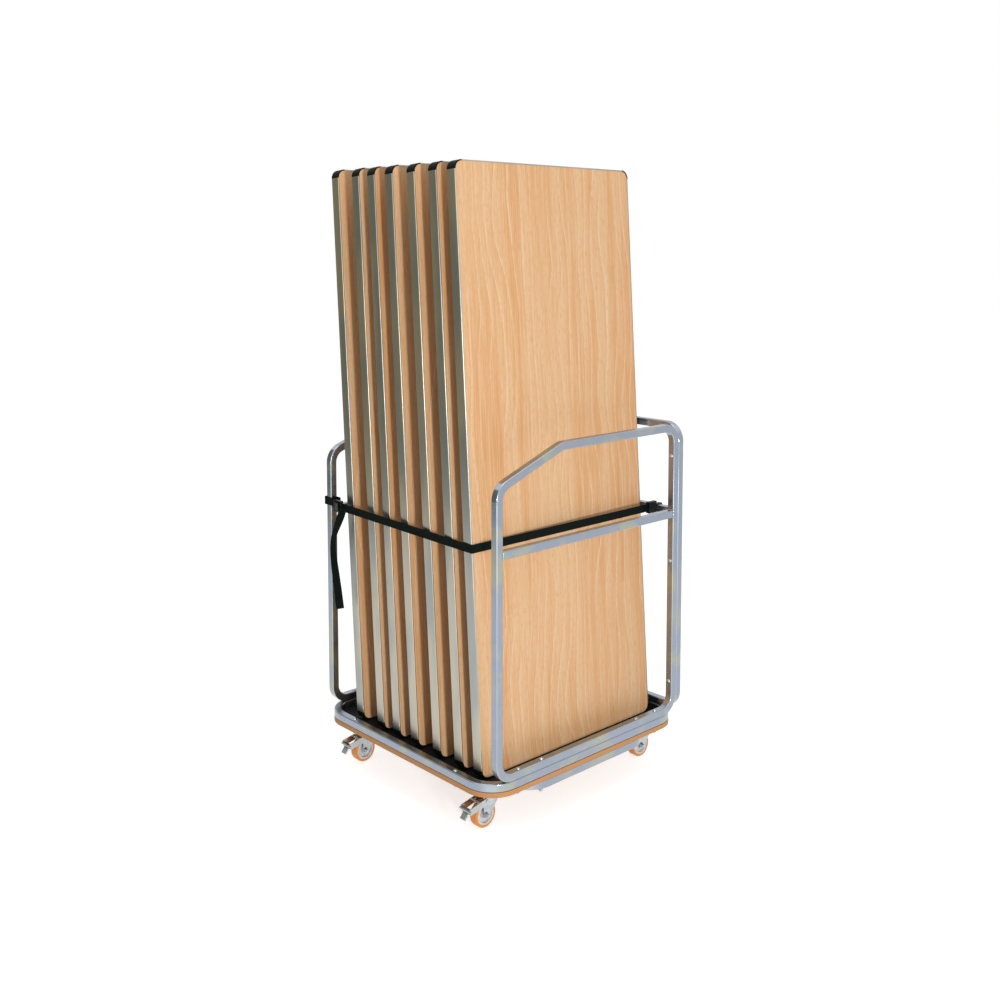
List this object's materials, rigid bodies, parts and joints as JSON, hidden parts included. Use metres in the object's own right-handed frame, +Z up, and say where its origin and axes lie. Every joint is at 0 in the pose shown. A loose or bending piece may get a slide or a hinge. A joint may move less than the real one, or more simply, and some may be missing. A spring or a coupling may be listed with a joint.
{
  "type": "banquet table trolley",
  "caption": "Castored trolley with a plywood deck and bent-tube side and rear hoops, loaded with folding tables standing on end and held by a webbing strap.",
  "frame": {"origin": "on the floor under the middle of the deck", "axes": "+Z up, -Y towards the open loading end with the strap and the braked castors, +Y towards the rear hoop, +X towards the side that the table tops face"},
  "size_m": [0.8592, 0.8786, 1.9818],
  "materials": {
    "zinc_tube": "bright zinc plating with faint passivation clouds",
    "zinc_bolt": "bright zinc plating",
    "zinc_castor": "bright zinc plating",
    "plywood": "plywood with a clear coat",
    "mat": "matte",
    "webbing": "woven webbing",
    "black_steel": "black coating",
    "hub_nylon": "moulded nylon",
    "tyre": "smooth polyurethane",
    "beech": "beech laminate, satin",
    "edging": "satin extrusion",
    "black_plastic": "moulded",
    "leg_paint": "dark grey powder coat"
  },
  "bodies": {
    "trolley": {"base_board": "plywood", "base_mat": "mat", "base_rim": "zinc_tube", "under_frame": "zinc_tube", "right_hoop": "zinc_tube", "left_hoop": "zinc_tube", "rear_hoop": "zinc_tube", "frame_bolts": "zinc_bolt", "frame_nuts": "zinc_bolt", "castor_plates": "zinc_castor", "strap_band": "webbing", "strap_tail": "webbing", "cam_buckle": "black_steel", "strap_clip": "black_steel"},
    "front_right_swivel": {"front_right_fork": "zinc_castor", "front_right_axle": "zinc_bolt"},
    "front_right_wheel": {"front_right_hub": "hub_nylon", "front_right_tyre": "tyre"},
    "front_left_swivel": {"front_left_fork": "zinc_castor", "front_left_axle": "zinc_bolt"},
    "front_left_wheel": {"front_left_hub": "hub_nylon", "front_left_tyre": "tyre"},
    "rear_right_swivel": {"rear_right_fork": "zinc_castor", "rear_right_axle": "zinc_bolt"},
    "rear_right_wheel": {"rear_right_hub": "hub_nylon", "rear_right_tyre": "tyre"},
    "rear_left_swivel": {"rear_left_fork": "zinc_castor", "rear_left_axle": "zinc_bolt"},
    "rear_left_wheel": {"rear_left_hub": "hub_nylon", "rear_left_tyre": "tyre"},
    "front_right_pedal": {"front_right_brake": "zinc_castor"},
    "front_left_pedal": {"front_left_brake": "zinc_castor"},
    "table_1": {"table_1_top": "beech", "table_1_edging": "edging", "table_1_caps": "black_plastic", "table_1_legs": "leg_paint"},
    "table_2": {"table_2_top": "beech", "table_2_edging": "edging", "table_2_caps": "black_plastic", "table_2_legs": "leg_paint"},
    "table_3": {"table_3_top": "beech", "table_3_edging": "edging", "table_3_caps": "black_plastic", "table_3_legs": "leg_paint"},
    "table_4": {"table_4_top": "beech", "table_4_edging": "edging", "table_4_caps": "black_plastic", "table_4_legs": "leg_paint"},
    "table_5": {"table_5_top": "beech", "table_5_edging": "edging", "table_5_caps": "black_plastic", "table_5_legs": "leg_paint"},
    "table_6": {"table_6_top": "beech", "table_6_edging": "edging", "table_6_caps": "black_plastic", "table_6_legs": "leg_paint"},
    "table_7": {"table_7_top": "beech", "table_7_edging": "edging", "table_7_caps": "black_plastic", "table_7_legs": "leg_paint"}
  },
  "joints": [
    {"name": "front_right_swivel_turn", "type": "hinge", "parent": "trolley", "child": "front_right_swivel", "pos_m": [0.3025, -0.3275, 0.115], "axis": [0, 0, 1], "continuous": true},
    {"name": "front_right_wheel_roll", "type": "hinge", "parent": "front_right_swivel", "child": "front_right_wheel", "pos_m": [0.3025, -0.3545, 0.04], "axis": [1, 0, 0], "continuous": true},
    {"name": "front_left_swivel_turn", "type": "hinge", "parent": "trolley", "child": "front_left_swivel", "pos_m": [-0.3025, -0.3275, 0.115], "axis": [0, 0, 1], "continuous": true},
    {"name": "front_left_wheel_roll", "type": "hinge", "parent": "front_left_swivel", "child": "front_left_wheel", "pos_m": [-0.3025, -0.3545, 0.04], "axis": [1, 0, 0], "continuous": true},
    {"name": "rear_right_swivel_turn", "type": "hinge", "parent": "trolley", "child": "rear_right_swivel", "pos_m": [0.3025, 0.3835, 0.115], "axis": [0, 0, 1], "continuous": true},
    {"name": "rear_right_wheel_roll", "type": "hinge", "parent": "rear_right_swivel", "child": "rear_right_wheel", "pos_m": [0.3025, 0.3565, 0.04], "axis": [1, 0, 0], "continuous": true},
    {"name": "rear_left_swivel_turn", "type": "hinge", "parent": "trolley", "child": "rear_left_swivel", "pos_m": [-0.3025, 0.3835, 0.115], "axis": [0, 0, 1], "continuous": true},
    {"name": "rear_left_wheel_roll", "type": "hinge", "parent": "rear_left_swivel", "child": "rear_left_wheel", "pos_m": [-0.3025, 0.3565, 0.04], "axis": [1, 0, 0], "continuous": true},
    {"name": "front_right_brake_press", "type": "hinge", "parent": "front_right_swivel", "child": "front_right_pedal", "pos_m": [0.3025, -0.3545, 0.0835], "axis": [1, 0, 0], "range_deg": [0, 8.5]},
    {"name": "front_left_brake_press", "type": "hinge", "parent": "front_left_swivel", "child": "front_left_pedal", "pos_m": [-0.3025, -0.3545, 0.0835], "axis": [1, 0, 0], "range_deg": [0, 8.5]},
    {"name": "table_1_lift", "type": "slide", "parent": "trolley", "child": "table_1", "axis": [-0.0641, 0, 0.9979], "range_m": [0, 1.02]},
    {"name": "table_2_lift", "type": "slide", "parent": "trolley", "child": "table_2", "axis": [-0.0641, 0, 0.9979], "range_m": [0, 1.02]},
    {"name": "table_3_lift", "type": "slide", "parent": "trolley", "child": "table_3", "axis": [-0.0641, 0, 0.9979], "range_m": [0, 1.02]},
    {"name": "table_4_lift", "type": "slide", "parent": "trolley", "child": "table_4", "axis": [-0.0641, 0, 0.9979], "range_m": [0, 1.02]},
    {"name": "table_5_lift", "type": "slide", "parent": "trolley", "child": "table_5", "axis": [-0.0641, 0, 0.9979], "range_m": [0, 1.02]},
    {"name": "table_6_lift", "type": "slide", "parent": "trolley", "child": "table_6", "axis": [-0.0641, 0, 0.9979], "range_m": [0, 1.02]},
    {"name": "table_7_lift", "type": "slide", "parent": "trolley", "child": "table_7", "axis": [-0.0641, 0, 0.9979], "range_m": [0, 1.02]}
  ]
}
